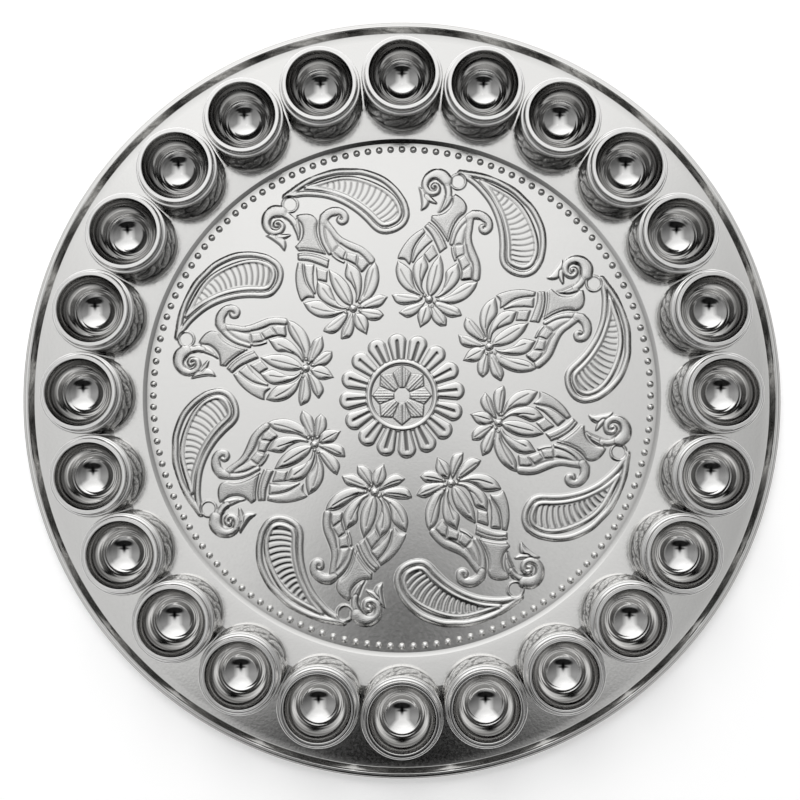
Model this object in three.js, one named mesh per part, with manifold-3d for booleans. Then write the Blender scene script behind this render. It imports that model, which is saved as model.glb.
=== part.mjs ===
// Silver thali: a pressed round tray with a wired rim, an embossed well and a
// ring of small loose cups on its flat border.
// Millimetres, +Z up. The origin is the middle of the underside of the well,
// which is the face that the tray rests on.

import * as THREE from 'three';
import { mergeVertices } from 'three/addons/utils/BufferGeometryUtils.js';
import Module from 'manifold-3d';

const wasm = await Module();
wasm.setup();

// Driving dimensions of the tray
const trayDiameter = 304.8; // over the rolled rim
const trayHeight = 6.4; // resting face to the top of the rolled rim
const sheetThickness = 0.6;
const rimBeadDiameter = 2.6;
const rimCurlSweep = 270; // degrees of the roll that the sheet covers
const rimWireClearance = 0.3; // between the wire and the sheet rolled over it
const wallRun = 0.8; // how far the outer wall leans out on its way up
const wellStepRise = 0.6; // floor of the well up to the foot of the border's slope
const wellStepRun = 1.7;
const borderSlopeRise = 1.2; // foot of the border's slope up to where the border is flat
const borderSlopeRun = 12;

// Driving dimensions of the cups, whose width follows from how many stand round the tray
const cupCount = 24;
const cupHeight = 25;
const cupWall = 0.8;
const cupLipInset = 1.53; // belly in to the rolled lip
const cupLipBead = 1.5; // thickness of the rolled lip
const cupNeckInset = 0.4; // how far the neck is drawn in under the lip
const cupShoulderDrop = 3.6; // lip top down to the start of the shoulder
const cupBellyLow = 6; // foot up to where the belly turns straight
const cupFootInset = 0.3; // belly in to the outside of the foot
const cupThroatAngle = 10; // degrees below the lip where the bowl leaves the outer wall

// Room left round the cups
const cupGap = 0.5; // between neighbouring cups
const cupSeatGap = 0.3; // under each foot
const rimMargin = 9.07; // outermost cup wall to the foot of the outer wall
const wellMargin = 4.27; // innermost cup wall to the floor of the well

// Driving dimensions of the embossing
const reliefHeight = 0.7;
const beadDiameter = 2.6;
const beadHeight = 1.1;
const beadPitch = 4.66; // along the ring of beads
const beadMargin = 2.6; // bead ring to the edge of the well's floor
const figureMargin = 3.3; // outermost figure line to the beads
const figureCount = 8;
const figureTurn = 75.4; // degrees from +X to the first figure
const petalCount = 16;
const petalGap = 3.7; // rosette to the innermost figure line
const petalLength = 10.6;
const petalSpacing = 1.9; // free width between neighbouring petals
const rosetteRingWidth = 1.9;
const starPoints = 8;
const starGap = 1.2; // points of the star to the ring round them

// Facets round each kind of round body
const traySegments = 56;
const curlSegments = 6;
const wireSides = 6;
const cupSegments = 16;
const bowlSegments = 5;
const beadSides = 5;
const ringSegments = 32;

// The figure as it is pressed at full size, x along the border and y outward
// from the middle of the well, which is at 0, 0
const figureReach = 96.6; // from the middle to the outermost line
const figureStart = 29; // from the middle to the innermost petal tip
const lotusOutline = [
  [0.3, 29], [3.2, 33.6], [3, 35.8], [10.2, 32.5], [6.4, 37], [15.1, 38.1], [10.6, 40.6],
  [4.8, 40.8], [11.4, 42.2], [16, 46.4], [18, 52.8], [10.6, 51.7], [8.2, 58.2], [4.3, 54.6],
  [0.8, 59], [-2.6, 54.6], [-5.8, 58.2], [-9.4, 51.6], [-15.8, 52.8], [-14.2, 46.2], [-9.6, 42.2],
  [-3.4, 40.8], [-9.4, 40.6], [-14.2, 39], [-4.4, 37.2], [-9.5, 32.4], [-1.6, 35.6], [-2, 33.2],
];
const birdOutline = [
  [-15.8, 54], [-14.2, 62], [-9.2, 68.9], [-6.6, 74.2], [-4.2, 75.8], [-2.2, 79.5], [-0.6, 84.6],
  [3.4, 84.6], [6.4, 81.4], [6.1, 78.8], [3.2, 74], [2.2, 66.6], [2.4, 62.8], [0.6, 60.4],
  [-3, 57.4], [-6, 59.6], [-10.4, 53],
];
const tailOutline = [
  [18.2, 53.9], [17.8, 58], [15.4, 62.8], [12.4, 67.8], [11, 73], [11.8, 76.8], [14.6, 77],
  [14, 73.8], [16.6, 73.1], [18.6, 75.8], [16.4, 80], [12, 81.4], [7.8, 79.4], [4.8, 74],
  [3.6, 67], [7.2, 59.6], [10, 57.4], [11.4, 52.8],
];
const headOutline = [
  [-8.6, 93.4], [-13, 90.6], [-14, 86.6], [-14.9, 84.6], [-11.2, 75.4], [-9.6, 80.6], [-7, 81.6],
  [-4.6, 84.4], [-4.6, 89],
];
const paisleyOutline = [
  [0, 95.4], [8, 96.2], [16, 95.8], [24.4, 93.2], [32.8, 88.4], [39.2, 80.4], [41.8, 70.4],
  [40, 62.8], [33.2, 59.2], [26.2, 62], [23.2, 70.4], [18.4, 80.6], [11.4, 88.2], [3.6, 92.4],
];
const paisleyHollow = [
  [20.4, 84.6], [26.6, 74.4], [29, 66.2], [32, 64.4], [35.4, 65.8], [36, 72], [32, 80.4],
  [25, 87], [17.6, 90],
];

// Radii and heights that follow from the dimensions above
const trayRadius = trayDiameter / 2;
const rimBeadRadius = rimBeadDiameter / 2;
const curlRadius = trayRadius - rimBeadRadius; // centre line of the rolled rim
const curlHeight = trayHeight - rimBeadRadius;
const curlBore = rimBeadRadius - sheetThickness;
const borderEnd = trayRadius - rimBeadDiameter - wallRun;
const borderRise = wellStepRise + borderSlopeRise;
const borderHeight = borderRise + sheetThickness;
const cupReach = borderEnd - rimMargin; // to the outermost wall of the cups
const cupHalfPitch = Math.sin(Math.PI / cupCount);
const cupDiameter = (2 * cupReach * cupHalfPitch - cupGap) / (1 + cupHalfPitch);
const cupRadius = cupDiameter / 2;
const cupRingRadius = cupReach - cupRadius;
const cupLipDiameter = cupDiameter - 2 * cupLipInset;
const cupFootDiameter = cupDiameter - 2 * cupFootInset;
const wellRadius = cupRingRadius - cupRadius - wellMargin;
const slopeRadius = wellRadius + wellStepRun;
const beadRingRadius = wellRadius - beadMargin;
const beadCount = Math.round(2 * Math.PI * beadRingRadius / beadPitch);
const figureScale = (beadRingRadius - beadDiameter / 2 - figureMargin) / figureReach;
const rosetteRadius = figureStart * figureScale - petalGap;
const rosetteRingRadius = rosetteRadius - petalLength;

const traySilver = new THREE.MeshStandardMaterial({ color: 0xdcdad6, roughness: 0.16, metalness: 1 });
const cupSilver = new THREE.MeshStandardMaterial({ color: 0xe2e0dc, roughness: 0.08, metalness: 1 });
const wireSteel = new THREE.MeshStandardMaterial({ color: 0x9a9a98, roughness: 0.35, metalness: 1 });

// A profile of [radius, height] pairs turned about +Z
function turned(profile, segments) {
  const points = profile.map(([radius, height]) => new THREE.Vector2(radius, height));
  return new THREE.LatheGeometry(points, segments).rotateX(Math.PI / 2);
}

// Points on an arc of a circle round [x, y], from one angle in degrees to another
function arcPoints([x, y], radius, from, to, steps) {
  return Array.from({ length: steps + 1 }, (_, i) => {
    const angle = THREE.MathUtils.degToRad(from + (to - from) * i / steps);
    return [x + radius * Math.cos(angle), y + radius * Math.sin(angle)];
  });
}

// The same surface with shared corners and no collapsed triangles
function toSolid(geometry) {
  const bare = geometry.clone();
  bare.deleteAttribute('normal');
  bare.deleteAttribute('uv');
  const merged = mergeVertices(bare);
  const corners = merged.index.array;
  const triangles = [];
  for (let i = 0; i < corners.length; i += 3) {
    const [a, b, c] = corners.slice(i, i + 3);
    if (a !== b && b !== c && c !== a) triangles.push(a, b, c);
  }
  return new wasm.Manifold(new wasm.Mesh({
    numProp: 3,
    vertProperties: merged.attributes.position.array,
    triVerts: new Uint32Array(triangles),
  }));
}

function toGeometry(solid) {
  const mesh = solid.getMesh();
  const geometry = new THREE.BufferGeometry();
  geometry.setAttribute('position', new THREE.BufferAttribute(mesh.vertProperties, 3));
  geometry.setIndex(new THREE.BufferAttribute(mesh.triVerts, 1));
  return geometry;
}

// Flat outline raised out of the floor of the well, rooted inside the sheet
function raisedPad(outline, hollow = null) {
  const shape = new THREE.Shape(outline.map(([x, y]) => new THREE.Vector2(x, y)));
  if (hollow) shape.holes.push(new THREE.Path(hollow.map(([x, y]) => new THREE.Vector2(x, y))));
  const root = sheetThickness / 2;
  const depth = sheetThickness + reliefHeight - root;
  return new THREE.ExtrudeGeometry(shape, { depth, bevelEnabled: false }).translate(0, 0, root);
}

// Copies of one geometry, evenly spaced round the middle of the well
function roundCopies(geometry, count, firstAngle) {
  return Array.from({ length: count }, (_, i) => (
    geometry.clone().rotateZ(THREE.MathUtils.degToRad(firstAngle) - 2 * Math.PI * i / count)
  ));
}

// Outline in figure coordinates laid into the well, with +Y turned to point along +X
function laidOut(outline) {
  return outline.map(([x, y]) => [y * figureScale, -x * figureScale]);
}

function trayShell() {
  const sweepEnd = 180 - rimCurlSweep;
  const curl = [curlRadius, curlHeight];
  return turned([
    [0, 0],
    [wellRadius, 0],
    [slopeRadius, wellStepRise],
    [slopeRadius + borderSlopeRun, borderRise],
    [borderEnd + sheetThickness, borderRise],
    ...arcPoints(curl, curlBore, 180, sweepEnd, curlSegments),
    ...arcPoints(curl, rimBeadRadius, sweepEnd, 180, curlSegments),
    [borderEnd, borderHeight],
    [slopeRadius + borderSlopeRun, borderHeight],
    [slopeRadius, wellStepRise + sheetThickness],
    [wellRadius, sheetThickness],
    [0, sheetThickness],
  ], traySegments);
}

// Rosette: a star inside a ring, with long round-ended petals outside it
function rosettePads() {
  const ringOuter = arcPoints([0, 0], rosetteRingRadius, 0, 360, ringSegments).slice(0, -1);
  const ringInner = arcPoints([0, 0], rosetteRingRadius - rosetteRingWidth, 0, 360, ringSegments).slice(0, -1);
  const starReach = rosetteRingRadius - rosetteRingWidth - starGap;
  const starWaist = starReach * Math.cos(Math.PI / starPoints);
  const star = Array.from({ length: 2 * starPoints }, (_, i) => {
    const angle = Math.PI * i / starPoints;
    const radius = i % 2 ? starWaist : starReach;
    return [radius * Math.cos(angle), radius * Math.sin(angle)];
  });
  const halfRoot = rosetteRingRadius * Math.PI / petalCount - petalSpacing / 4;
  const tipCentre = rosetteRadius / (1 + Math.sin(Math.PI / petalCount));
  const halfTip = tipCentre * Math.sin(Math.PI / petalCount) - petalSpacing / 2;
  const petalRoot = rosetteRingRadius + petalSpacing / 4;
  const petal = [
    [petalRoot, -halfRoot],
    ...arcPoints([rosetteRadius - halfTip, 0], halfTip, -90, 90, 4),
    [petalRoot, halfRoot],
  ];
  return [
    raisedPad(ringOuter, ringInner),
    raisedPad(star),
    ...roundCopies(raisedPad(petal), petalCount, 360 / petalCount / 2),
  ];
}

// Peacock with its paisley and the lotus that it stands on
function figurePads() {
  const pads = [
    raisedPad(laidOut(lotusOutline)),
    raisedPad(laidOut(birdOutline)),
    raisedPad(laidOut(tailOutline)),
    raisedPad(laidOut(headOutline)),
    raisedPad(laidOut(paisleyOutline), laidOut(paisleyHollow)),
  ];
  return pads.flatMap((pad) => roundCopies(pad, figureCount, figureTurn));
}

function beadPads() {
  const bead = new THREE.ConeGeometry(beadDiameter / 2, beadHeight + sheetThickness / 2, beadSides)
    .rotateX(Math.PI / 2)
    .translate(beadRingRadius, 0, sheetThickness + beadHeight / 2 - sheetThickness / 4);
  return roundCopies(bead, beadCount, 0);
}

function makeTray() {
  const pads = [...rosettePads(), ...figurePads(), ...beadPads()];
  const solid = wasm.Manifold.union([trayShell(), ...pads].map(toSolid));
  const tray = new THREE.Mesh(toGeometry(solid), traySilver);
  tray.name = 'tray';
  return tray;
}

function makeRimWire() {
  const section = arcPoints([curlRadius, curlHeight], curlBore - rimWireClearance, 0, 360, wireSides);
  const wire = new THREE.Mesh(turned(section, traySegments), wireSteel);
  wire.name = 'rim_wire';
  return wire;
}

// Half section of a cup, which is one sheet with a bowl in the shape of half a ball: from the
// middle of the bowl's underside out and down to the foot, up the outside, over the lip and in
function cupProfile() {
  const footRadius = cupFootDiameter / 2;
  const lipRadius = cupLipDiameter / 2;
  const bowlRadius = lipRadius - cupLipBead;
  const lipMiddle = cupHeight - cupLipBead / 2;
  const shoulderHeight = cupHeight - cupShoulderDrop;
  const bowlCentre = [0, lipMiddle];
  return [
    ...arcPoints(bowlCentre, bowlRadius + cupWall, -90, -cupThroatAngle, bowlSegments - 1),
    [cupRadius - cupWall, shoulderHeight - cupWall / 2],
    [cupRadius - cupWall, cupBellyLow],
    [footRadius - cupWall, 0],
    [footRadius, 0],
    [cupRadius, cupBellyLow],
    [cupRadius, shoulderHeight],
    [lipRadius - cupNeckInset, cupHeight - cupLipBead],
    [lipRadius, lipMiddle],
    [lipRadius - cupLipBead / 2, cupHeight],
    ...arcPoints(bowlCentre, bowlRadius, 0, -90, bowlSegments),
  ];
}

function makeCup(index, geometry) {
  const cup = new THREE.Mesh(geometry, cupSilver);
  cup.name = `cup_${String(index + 1).padStart(2, '0')}`;
  const seat = new THREE.Group();
  seat.rotation.z = Math.PI / 2 - 2 * Math.PI * index / cupCount;
  cup.position.set(cupRingRadius, 0, borderHeight + cupSeatGap);
  seat.add(cup);
  return seat;
}

const thali = new THREE.Group();
thali.add(makeTray());
thali.add(makeRimWire());
const cupGeometry = turned(cupProfile(), cupSegments);
for (let index = 0; index < cupCount; index += 1) {
  thali.add(makeCup(index, cupGeometry));
}

export default thali;
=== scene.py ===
import math

import bpy
import numpy as np
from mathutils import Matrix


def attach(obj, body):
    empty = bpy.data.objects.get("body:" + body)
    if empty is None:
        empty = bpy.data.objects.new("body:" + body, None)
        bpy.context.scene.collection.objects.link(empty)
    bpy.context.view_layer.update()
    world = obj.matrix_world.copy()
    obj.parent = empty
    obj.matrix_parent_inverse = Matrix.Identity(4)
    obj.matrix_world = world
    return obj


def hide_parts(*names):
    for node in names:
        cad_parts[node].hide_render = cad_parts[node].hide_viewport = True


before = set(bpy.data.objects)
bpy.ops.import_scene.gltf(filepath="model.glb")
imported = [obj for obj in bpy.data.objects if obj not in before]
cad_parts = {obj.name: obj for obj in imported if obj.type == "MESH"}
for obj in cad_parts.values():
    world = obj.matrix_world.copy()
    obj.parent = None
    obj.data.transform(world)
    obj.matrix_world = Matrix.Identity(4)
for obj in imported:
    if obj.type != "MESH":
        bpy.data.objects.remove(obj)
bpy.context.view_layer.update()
mm = 0.001
sharpAngle = 72  # degrees between two faces from which the edge between them is drawn sharp

# the thali lies flat, so the camera looks almost straight down on it
shot = {"aim": (-0.0008, -0.0018, 0.0), "distance": 0.4478, "tiltFromOverhead": 2.4, "lens": 49.45,
        "sensor": 36, "nearest": 0.01, "farthest": 100}

cameraData = bpy.data.cameras.new("overheadCamera")
cameraData.lens = shot["lens"]
cameraData.sensor_width = shot["sensor"]
cameraData.clip_start = shot["nearest"]
cameraData.clip_end = shot["farthest"]
camera = bpy.data.objects.new("overheadCamera", cameraData)
bpy.context.scene.collection.objects.link(camera)
tilt = math.radians(shot["tiltFromOverhead"])
camera.location = (
    shot["aim"][0],
    shot["aim"][1] - shot["distance"] * math.sin(tilt),
    shot["aim"][2] + shot["distance"] * math.cos(tilt),
)
camera.rotation_euler = (tilt, 0, 0)
bpy.context.scene.camera = camera
bpy.context.scene.view_settings.view_transform = "Standard"


# the four corners of every cell of a grid, whose columns may close on themselves
def gridCells(rows, columns, wrap=True, first=0):
    row = np.arange(rows - 1)[:, None]
    column = np.arange(columns if wrap else columns - 1)[None, :]
    beside = (column + 1) % columns
    cells = np.stack([row * columns + column, row * columns + beside,
                      (row + 1) * columns + beside, (row + 1) * columns + column], -1)
    return cells.reshape(-1, 4) + first


# points in millimetres and lists of faces with the same number of corners, put into one object
def makePiece(name, points, faceSets, material, body, stands=(), marks=None, vectors=None):
    mesh = bpy.data.meshes.new(name)
    mesh.vertices.add(len(points))
    mesh.vertices.foreach_set("co", (np.asarray(points, np.float32) * mm).ravel())
    corners = np.concatenate([faces.ravel() for faces in faceSets]).astype(np.int32)
    counts = np.concatenate([np.full(len(faces), faces.shape[1]) for faces in faceSets])
    starts = np.concatenate([[0], np.cumsum(counts)[:-1]]).astype(np.int32)
    mesh.loops.add(len(corners))
    mesh.loops.foreach_set("vertex_index", corners)
    mesh.polygons.add(len(counts))
    mesh.polygons.foreach_set("loop_start", starts)
    mesh.update(calc_edges=True)
    mesh.validate()
    mesh.polygons.foreach_set("use_smooth", np.ones(len(mesh.polygons), bool))
    mesh.set_sharp_from_angle(angle=math.radians(sharpAngle))
    for label, values in (marks or {}).items():
        layer = mesh.attributes.new(label, "FLOAT", "POINT")
        layer.data.foreach_set("value", np.asarray(values, np.float32).ravel())
    for label, values in (vectors or {}).items():
        layer = mesh.attributes.new(label, "FLOAT_VECTOR", "POINT")
        layer.data.foreach_set("vector", np.asarray(values, np.float32).ravel())
    piece = bpy.data.objects.new(name, mesh)
    bpy.context.scene.collection.objects.link(piece)
    mesh.materials.append(material)
    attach(piece, body)
    if stands:
        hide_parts(*stands)
    return piece


# a closed loop of (radius, height) carried round the upright axis
def ringPoints(profile, columns):
    angle = np.linspace(0, 2 * np.pi, columns, endpoint=False)[None, :]
    radius, height = profile[:, :1], profile[:, 1:]
    return np.stack([radius * np.cos(angle), radius * np.sin(angle), height + 0 * angle], -1)


# cells of a closed profile that is carried right round, so both ways of the grid close
def loopCells(rows, columns):
    cells = gridCells(rows + 1, columns)
    return cells % (rows * columns)


# triangles that close both ends of a round grid, to the two points that follow its own
def endFans(rows, columns):
    ring = np.arange(columns)
    beside = np.roll(ring, -1)
    last = (rows - 1) * columns
    return np.vstack([np.stack([beside, ring, np.full(columns, rows * columns)], 1),
                      np.stack([last + ring, last + beside, np.full(columns, rows * columns + 1)], 1)])


# points on an arc round a centre, from one angle in degrees to another
def arc(centre, radius, start, end, steps):
    angle = np.radians(np.linspace(start, end, steps))
    return np.stack([centre[0] + radius * np.cos(angle), centre[1] + radius * np.sin(angle)], 1)


# a middle line of (radius, height) given a wall: each point moved half a wall to both sides,
# square to the line, and the two sides joined into one loop
def wallLoop(middle, wall):
    along = np.gradient(middle, axis=0)
    along /= np.linalg.norm(along, axis=1)[:, None]
    outward = np.stack([along[:, 1], -along[:, 0]], 1) * wall / 2
    return np.vstack([middle + outward, (middle - outward)[::-1]])


# polyline with each corner swapped for an arc of the given radius
def rounded(corners, radii, steps=7):
    line = [np.array(corners[:1], float)]
    for before, at, after, radius in zip(corners[:-2], corners[1:-1], corners[2:], radii):
        before, at, after = (np.array(p, float) for p in (before, at, after))
        intoIt, outOfIt = (at - before), (after - at)
        intoIt, outOfIt = intoIt / np.linalg.norm(intoIt), outOfIt / np.linalg.norm(outOfIt)
        half = math.acos(np.clip(intoIt @ outOfIt, -1, 1)) / 2
        setback = radius * math.tan(half)
        t = np.linspace(0, 1, steps)[:, None]
        start, end = at - intoIt * setback, at + outOfIt * setback
        line.append((1 - t) ** 2 * start + 2 * t * (1 - t) * at + t ** 2 * end)
    line.append(np.array(corners[-1:], float))
    return np.vstack(line)


# line cut into pieces no longer than the given length
def divided(line, longest):
    out = [line[:1]]
    for a, b in zip(line[:-1], line[1:]):
        n = max(1, int(np.ceil(np.linalg.norm(b - a) / longest)))
        t = np.linspace(0, 1, n + 1)[1:, None]
        out.append(a + (b - a) * t)
    return np.vstack(out)


# from 0 at low to 1 at high along the S curve 3 t^2 - 2 t^3, held at both ends
def eased(value, low, high):
    t = np.clip((value - low) / (high - low), 0, 1)
    return t * t * (3 - 2 * t)


# Catmull-Rom curve through the points, each row (x, y) or (x, y, half width)
def flowing(points, closed=False, steps=6):
    p = np.array(points, float)
    if closed:
        a, b, c, d = (np.roll(p, k, axis=0) for k in (1, 0, -1, -2))
    else:
        ends = np.vstack([2 * p[0] - p[1], p, 2 * p[-1] - p[-2]])
        a, b, c, d = ends[:-3], ends[1:-2], ends[2:-1], ends[3:]
    t = np.linspace(0, 1, steps, endpoint=False)[None, :, None]
    a, b, c, d = (q[:, None, :] for q in (a, b, c, d))
    curve = 0.5 * (2 * b + (c - a) * t + (2 * a - 5 * b + 4 * c - d) * t ** 2
                   + (3 * b - a - 3 * c + d) * t ** 3)
    curve = curve.reshape(-1, p.shape[1])
    return curve if closed else np.vstack([curve, p[-1:]])


# least distance from each point to a line of short straights, and its half width there
def nearest(points, path, width=None):
    best = np.full(len(points), 1e9)
    widthThere = np.zeros(len(points))
    for i in range(len(path) - 1):
        start, step = path[i, :2], path[i + 1, :2] - path[i, :2]
        t = np.clip((points - start) @ step / max(step @ step, 1e-12), 0, 1)
        gap = np.hypot(points[:, 0] - start[0] - t * step[0], points[:, 1] - start[1] - t * step[1])
        closer = gap < best
        best[closer] = gap[closer]
        if width is None and path.shape[1] > 2:
            widthThere[closer] = (path[i, 2] + t * (path[i + 1, 2] - path[i, 2]))[closer]
    return best, (widthThere if width is None else width)


# whether each point lies inside the outline, by counting the edges to its right
def inside(points, outline):
    x, y = points.T
    odd = np.zeros(len(points), bool)
    for (x0, y0), (x1, y1) in zip(outline, np.roll(outline, -1, axis=0)):
        if y0 != y1:
            odd ^= ((y0 > y) != (y1 > y)) & (x < x0 + (y - y0) * (x1 - x0) / (y1 - y0))
    return odd


# flat sheet to press into: height above it, stipple and painted shade at each point, all 0
def blankRelief(points):
    zero = np.zeros(len(points))
    return {"points": points, "height": zero.copy(), "stipple": zero.copy(), "shade": zero.copy()}


# numbers of the points that lie in a path's own box, grown by the given reach
def close(relief, path, reach):
    low, high = path[:, :2].min(0) - reach, path[:, :2].max(0) + reach
    return np.nonzero(((relief["points"] > low) & (relief["points"] < high)).all(1))[0]


# painted shade: a dark line lies just outside the edge of every raised shape, where its flank meets the sheet
edgeShadeLine = {"shade": 0.66, "outside": 0.12, "halfWidth": 0.17}


# what lies deeper than 0 inside a shape is covered by its top, with a steep flank at the edge;
# the top falls by crown * (1 - depth / rounding)^2 towards the edge
def cover(relief, near, depth, height, crown, rounding, flank, stipple):
    over = eased(depth, -flank, flank)
    top = height - crown * (1 - np.clip(depth / rounding, 0, 1)) ** 2
    for label, value in (("height", top), ("stipple", stipple), ("shade", 0)):
        relief[label][near] = relief[label][near] * (1 - over) + value * over
    # painted shade just outside the edge
    edge = edgeShadeLine["shade"] * np.exp(-((depth + edgeShadeLine["outside"]) / edgeShadeLine["halfWidth"]) ** 2)
    relief["shade"][near] = np.maximum(relief["shade"][near], edge)


# raised area inside an outline; its depth is the distance to the outline
def pad(relief, outline, height=0.55, crown=0.12, rounding=1.2, flank=0.22, stipple=0.0):
    near = close(relief, outline, 1.0)
    points = relief["points"][near]
    gap, _ = nearest(points, np.vstack([outline, outline[:1]]), 0)
    depth = np.where(inside(points, outline), gap, -gap)
    cover(relief, near, depth, height, crown, rounding, flank, stipple)


# raised band along a path; its depth is the band's half width less the distance to the path
def ridge(relief, path, halfWidth=None, height=0.55, crown=0.3, flank=0.2, stipple=0.0):
    near = close(relief, path, 3.5)
    gap, half = nearest(relief["points"][near], path, halfWidth)
    cover(relief, near, half - gap, height, crown, np.maximum(half, 0.2), flank, stipple)


# sunken line along a path: depth * exp(-(distance / half width)^2), with painted shade in it that fades the
# same way
def groove(relief, path, halfWidth=0.25, depth=0.18, shade=0.7):
    near = close(relief, path, 3 * halfWidth)
    gap, _ = nearest(relief["points"][near], path, 0)
    line = np.exp(-(gap / halfWidth) ** 2)
    relief["height"][near] -= depth * line
    relief["shade"][near] = np.maximum(relief["shade"][near], shade * line)


# petal from two edges that both run from its foot to its tip, with a groove for its vein
def petal(relief, oneEdge, otherEdge, vein=None, height=0.62, crown=0.28, rounding=1.8, stipple=0.25):
    outline = np.vstack([flowing(oneEdge), flowing(otherEdge)[::-1][1:-1]])
    pad(relief, outline, height, crown, rounding, stipple=stipple)
    if vein is not None:
        groove(relief, flowing(vein), halfWidth=0.24, depth=0.12, shade=0.6)


# one outline from several curves that follow each other
def outlineOf(*edges):
    return np.vstack([flowing(edge) for edge in edges])


# the figure that repeats round the well: x runs clockwise, y outward, in millimetres

paisleyShape = {
    "outerRim": [(0, 94.4), (3, 94.8), (8, 95.3), (15, 95), (23, 92.9), (28.4, 90), (32.2, 87.6),
                 (35.9, 83.7), (38.6, 79.6), (40.3, 74.5), (40.8, 70), (40.6, 67), (39.2, 63.2),
                 (36.5, 60.9), (33, 60.3), (29.6, 61), (27, 62.6), (25.5, 65.3), (24.4, 70),
                 (22.6, 75.3), (19.4, 81.2), (14.8, 86.6), (8.6, 91.1), (4, 93.2)],
    "innerRim": [(9.5, 93.3), (12, 92.7), (17, 91.6), (22.5, 90), (27, 87.6), (31, 84), (34.2, 80),
                 (36.6, 76), (38, 72), (38.2, 68.5), (37.3, 65.2), (35, 63.4), (32, 63.2),
                 (29.3, 64), (27.9, 66), (26.6, 71), (24.8, 75.8), (22, 81), (18.5, 85.5),
                 (14.5, 89.6), (10, 92.8)],
    "ribStarts": [(29.5, 65), (28.9, 66.9), (28.6, 68.9), (28.3, 70.9), (27.8, 73), (27, 75),
                  (26.2, 77), (25.2, 78.8), (24, 80.6), (22.9, 82.3), (21.7, 84.1), (20.4, 85.9),
                  (18.8, 87.2), (17, 89.3)],
    "ribEnds": [(36.6, 65.9), (37.3, 68.7), (37.2, 71.2), (36.3, 74), (35.3, 76.4), (33.9, 78.8),
                (32.2, 80.7), (30.2, 82.8), (28.4, 84.4), (26.3, 85.9), (24.2, 87.3), (22, 88.7),
                (19.9, 89.5), (17.6, 90.2)],
    "outerHalfWidth": 1.05, "innerHalfWidth": 0.85, "rimHeight": 0.62, "innerHeight": 0.52,
    "ribBow": (0.03, -0.07),  # how far a rib bows at its middle, as a share of its length
}


# two raised rims round a low bed, crossed by grooves that bow a little between their ends
def drawPaisley(relief, shape):
    outer = flowing(shape["outerRim"], closed=True)
    inner = flowing(shape["innerRim"], closed=True)
    pad(relief, inner, height=0.34, crown=0.0, rounding=1.0)
    for start, end in zip(shape["ribStarts"], shape["ribEnds"]):
        start, end = np.array(start), np.array(end)
        t = np.linspace(0, 1, 6)[:, None]
        bow = np.array(shape["ribBow"]) * 4 * t * (1 - t) * np.linalg.norm(end - start)
        rib = start + (end - start) * t + bow
        groove(relief, rib, halfWidth=0.26, depth=0.2, shade=0.75)
    ridge(relief, np.vstack([outer, outer[:1]]), shape["outerHalfWidth"], shape["rimHeight"],
          crown=0.22, stipple=0.5)
    ridge(relief, np.vstack([inner, inner[:1]]), shape["innerHalfWidth"], shape["innerHeight"],
          crown=0.2, stipple=0.3)


headShape = {
    "scroll": [(-4.6, 90.2, 2.2), (-7, 91.6, 2.3), (-10, 91.2, 2.0), (-12.3, 88.8, 1.6),
               (-12.6, 86, 1.3), (-11.2, 84, 1.2), (-9, 83.4, 1.1), (-7.1, 84.6, 1.0),
               (-7.2, 86.6, 0.8), (-8.7, 87.3, 0.7), (-9.5, 86.3, 0.6), (-8.8, 85.6, 0.5)],
    "scrollLine": [(-11.2, 86), (-11, 88.4), (-9.8, 89.4), (-8, 89.4), (-5.8, 88.2), (-4.2, 86.5),
                   (-3.4, 84), (-3.6, 81), (-3.9, 78.5), (-4.5, 76.3)],
    "throat": [(-4, 88.5, 1.4), (-2.6, 85.5, 1.3), (-2.4, 83.5, 1.2)],
    "beakLeft": [(-14.8, 84.6), (-13.2, 81.4), (-12, 78.4), (-11.5, 75.4)],
    "beakRight": [(-12.6, 84), (-10.8, 82), (-9.3, 79.6), (-9.8, 77.2), (-11.5, 75.4)],
    "spur": [(-10.8, 81.8, 0.9), (-8.6, 80.6, 0.9), (-6.5, 80, 0.35)],
    "bead": (0.1, 90.8, 3.1),
}


# beak, throat, spur and the scroll of the crest, with a round bead beside them
def drawHead(relief, shape):
    x, y, radius = shape["bead"]
    circle = arc((x, y), radius, 0, 360, 40)
    pad(relief, circle[:-1], height=0.12, crown=0.0, rounding=1.0)
    ridge(relief, circle, halfWidth=0.32, height=0.36, crown=0.2)
    ridge(relief, flowing(shape["throat"]), height=0.5, crown=0.15, stipple=0.3)
    beak = np.vstack([flowing(shape["beakLeft"]), flowing(shape["beakRight"])[::-1]])
    pad(relief, beak, height=0.55, crown=0.25, rounding=1.2)
    ridge(relief, flowing(shape["spur"]), height=0.5, crown=0.25)
    ridge(relief, flowing(shape["scroll"]), height=0.68, crown=0.25, stipple=0.5)
    groove(relief, flowing(shape["scrollLine"]), halfWidth=0.28, depth=0.25, shade=0.8)


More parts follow.
